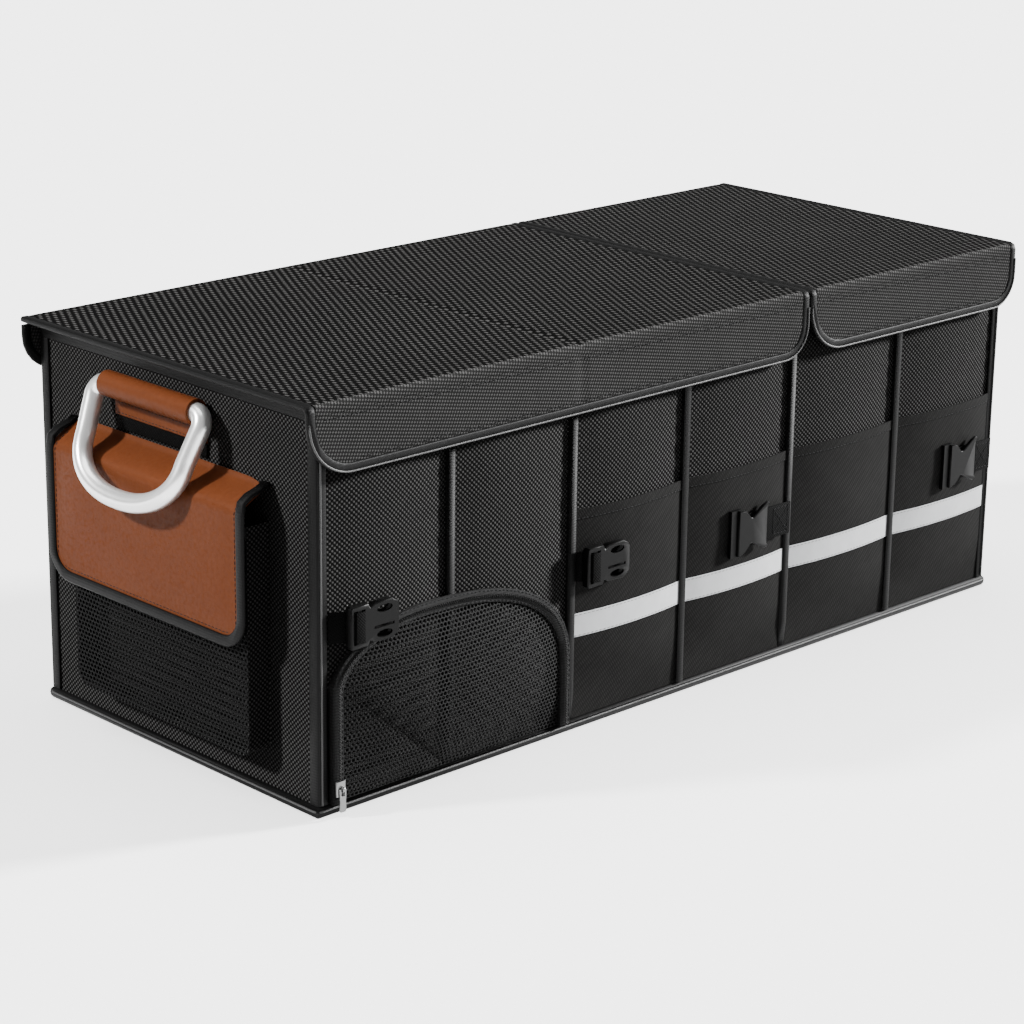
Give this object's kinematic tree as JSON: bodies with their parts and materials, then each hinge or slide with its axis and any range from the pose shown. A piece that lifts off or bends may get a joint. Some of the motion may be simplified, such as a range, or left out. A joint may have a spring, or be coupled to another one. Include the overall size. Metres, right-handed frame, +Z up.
{
  "type": "car trunk organizer",
  "caption": "Long lidded fabric trunk organizer with folding lids, end handles, a leather-flapped side pocket, mesh and slip pockets and buckle straps.",
  "frame": {"origin": "middle of the body's footprint, on the ground", "axes": "+X to the right along the long front, -Y out of the front, +Z up"},
  "size_m": [0.862, 0.3579, 0.3204],
  "materials": {
    "body_cloth": "matte",
    "lid_cloth": "matte",
    "flap_cloth": "matte",
    "edge_tape": "satin",
    "pocket_cloth": "matte",
    "net_cloth": "matte",
    "board_cloth": "matte",
    "reflective": "satin",
    "leather": "satin",
    "aluminium": "satin",
    "zip_metal": "satin",
    "clasp_plastic": "satin",
    "webbing": "matte"
  },
  "bodies": {
    "organizer": {"front_wall": "body_cloth", "back_wall": "body_cloth", "left_end_wall": "body_cloth", "right_end_wall": "body_cloth", "base_panel": "board_cloth", "divider_left": "board_cloth", "divider_right": "board_cloth", "floor_board_left": "board_cloth", "floor_board_middle": "board_cloth", "floor_board_right": "board_cloth", "corner_binding_front_left": "edge_tape", "corner_binding_front_right": "edge_tape", "corner_binding_back_left": "edge_tape", "corner_binding_back_right": "edge_tape", "bottom_piping": "edge_tape", "rim_binding": "edge_tape", "seam_binding_1": "edge_tape", "seam_binding_2": "edge_tape", "seam_binding_3": "edge_tape", "seam_binding_4": "edge_tape", "seam_binding_5": "edge_tape", "back_flap_left": "flap_cloth", "back_flap_left_binding": "edge_tape", "back_flap_right": "flap_cloth", "back_flap_right_binding": "edge_tape", "handle_sleeve_left": "leather", "handle_sleeve_right": "leather", "handle_webbing_left": "webbing", "handle_webbing_right": "webbing", "side_pocket_gusset": "body_cloth", "side_pocket_mesh": "net_cloth", "side_pocket_hem": "edge_tape", "side_pocket_flap": "leather", "side_pocket_flap_binding": "edge_tape", "mesh_pocket_zip_tape": "edge_tape", "mesh_pocket_zip_teeth": "edge_tape", "mesh_pocket_net": "net_cloth", "pocket_sheet_middle": "pocket_cloth", "pocket_sheet_right": "pocket_cloth", "reflective_strip_middle": "reflective", "reflective_strip_right": "reflective", "buckle_female_left": "clasp_plastic", "buckle_female_middle": "clasp_plastic", "buckle_male_middle": "clasp_plastic", "buckle_male_right": "clasp_plastic", "strap_female_left": "webbing", "strap_female_middle": "webbing", "strap_male_middle": "webbing", "strap_male_right": "webbing"},
    "lid_left": {"lid_left_panel": "lid_cloth", "lid_left_flap": "flap_cloth", "lid_left_binding": "edge_tape"},
    "lid_right": {"lid_right_panel": "lid_cloth", "lid_right_flap": "flap_cloth", "lid_right_binding": "edge_tape"},
    "handle_left": {"handle_left": "aluminium"},
    "handle_right": {"handle_right": "aluminium"},
    "zip_slider": {"zip_slider": "zip_metal"},
    "zip_pull": {"zip_pull": "zip_metal"}
  },
  "joints": [
    {"name": "lid_left_hinge", "type": "hinge", "parent": "organizer", "child": "lid_left", "pos_m": [-0.1415, 0.1723, 0.32], "axis": [-1, 0, 0], "range_deg": [0, 180]},
    {"name": "lid_right_hinge", "type": "hinge", "parent": "organizer", "child": "lid_right", "pos_m": [0.267, 0.1723, 0.32], "axis": [-1, 0, 0], "range_deg": [0, 180]},
    {"name": "handle_left_swing", "type": "hinge", "parent": "organizer", "child": "handle_left", "pos_m": [-0.4058, 0.013, 0.2875], "axis": [0, 1, 0], "range_deg": [0, 112]},
    {"name": "handle_right_swing", "type": "hinge", "parent": "organizer", "child": "handle_right", "pos_m": [0.4058, -0.013, 0.2875], "axis": [0, -1, 0], "range_deg": [0, 136]},
    {"name": "zip_slide", "type": "slide", "parent": "organizer", "child": "zip_slider", "axis": [0, 0, 1], "range_m": [0, 0.065]},
    {"name": "zip_pull_swing", "type": "hinge", "parent": "zip_slider", "child": "zip_pull", "pos_m": [-0.3815, -0.17707, 0.0225], "axis": [-1, 0, 0], "range_deg": [0, 160]}
  ]
}
